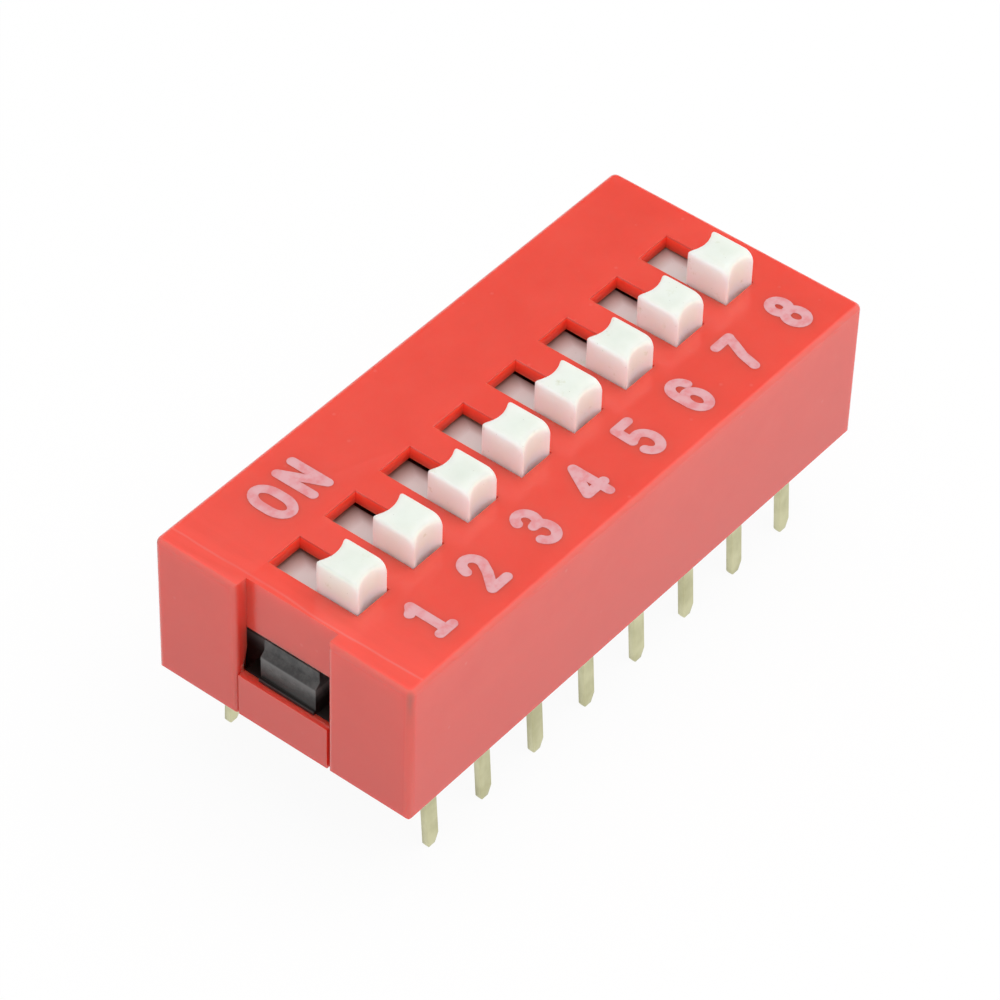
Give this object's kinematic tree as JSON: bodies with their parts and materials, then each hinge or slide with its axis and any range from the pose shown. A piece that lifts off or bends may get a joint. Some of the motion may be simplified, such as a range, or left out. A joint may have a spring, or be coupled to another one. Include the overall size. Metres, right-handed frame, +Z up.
{
  "type": "dip switch",
  "caption": "Row of small slide switches in a red dual-in-line package with white sliders and two rows of solder pins.",
  "frame": {"origin": "centre of the cover's underside, on the circuit board's surface", "axes": "+X along the row from switch 1 to switch 8, +Y from the OFF side to the ON side, +Z up out of the board"},
  "size_m": [0.022, 0.0098, 0.0099],
  "materials": {
    "cover": "moulded, satin, bright red",
    "base": "moulded, satin, black",
    "slider": "moulded, soft gloss, white",
    "bridge_contact": "spring strip, gold plated",
    "terminal": "stamped sheet, pale plating, satin"
  },
  "bodies": {
    "housing": {"cover": "cover", "base": "base", "off_terminal_1": "terminal", "off_terminal_2": "terminal", "off_terminal_3": "terminal", "off_terminal_4": "terminal", "off_terminal_5": "terminal", "off_terminal_6": "terminal", "off_terminal_7": "terminal", "off_terminal_8": "terminal", "on_terminal_1": "terminal", "on_terminal_2": "terminal", "on_terminal_3": "terminal", "on_terminal_4": "terminal", "on_terminal_5": "terminal", "on_terminal_6": "terminal", "on_terminal_7": "terminal", "on_terminal_8": "terminal"},
    "switch_1": {"slider_1": "slider", "bridge_contact_1": "bridge_contact"},
    "switch_2": {"slider_2": "slider", "bridge_contact_2": "bridge_contact"},
    "switch_3": {"slider_3": "slider", "bridge_contact_3": "bridge_contact"},
    "switch_4": {"slider_4": "slider", "bridge_contact_4": "bridge_contact"},
    "switch_5": {"slider_5": "slider", "bridge_contact_5": "bridge_contact"},
    "switch_6": {"slider_6": "slider", "bridge_contact_6": "bridge_contact"},
    "switch_7": {"slider_7": "slider", "bridge_contact_7": "bridge_contact"},
    "switch_8": {"slider_8": "slider", "bridge_contact_8": "bridge_contact"}
  },
  "joints": [
    {"name": "switch_1_slide", "type": "slide", "parent": "housing", "child": "switch_1", "axis": [0, 1, 0], "range_m": [0, 0.00178]},
    {"name": "switch_2_slide", "type": "slide", "parent": "housing", "child": "switch_2", "axis": [0, 1, 0], "range_m": [0, 0.00178]},
    {"name": "switch_3_slide", "type": "slide", "parent": "housing", "child": "switch_3", "axis": [0, 1, 0], "range_m": [0, 0.00178]},
    {"name": "switch_4_slide", "type": "slide", "parent": "housing", "child": "switch_4", "axis": [0, 1, 0], "range_m": [0, 0.00178]},
    {"name": "switch_5_slide", "type": "slide", "parent": "housing", "child": "switch_5", "axis": [0, 1, 0], "range_m": [0, 0.00178]},
    {"name": "switch_6_slide", "type": "slide", "parent": "housing", "child": "switch_6", "axis": [0, 1, 0], "range_m": [0, 0.00178]},
    {"name": "switch_7_slide", "type": "slide", "parent": "housing", "child": "switch_7", "axis": [0, 1, 0], "range_m": [0, 0.00178]},
    {"name": "switch_8_slide", "type": "slide", "parent": "housing", "child": "switch_8", "axis": [0, 1, 0], "range_m": [0, 0.00178]}
  ]
}
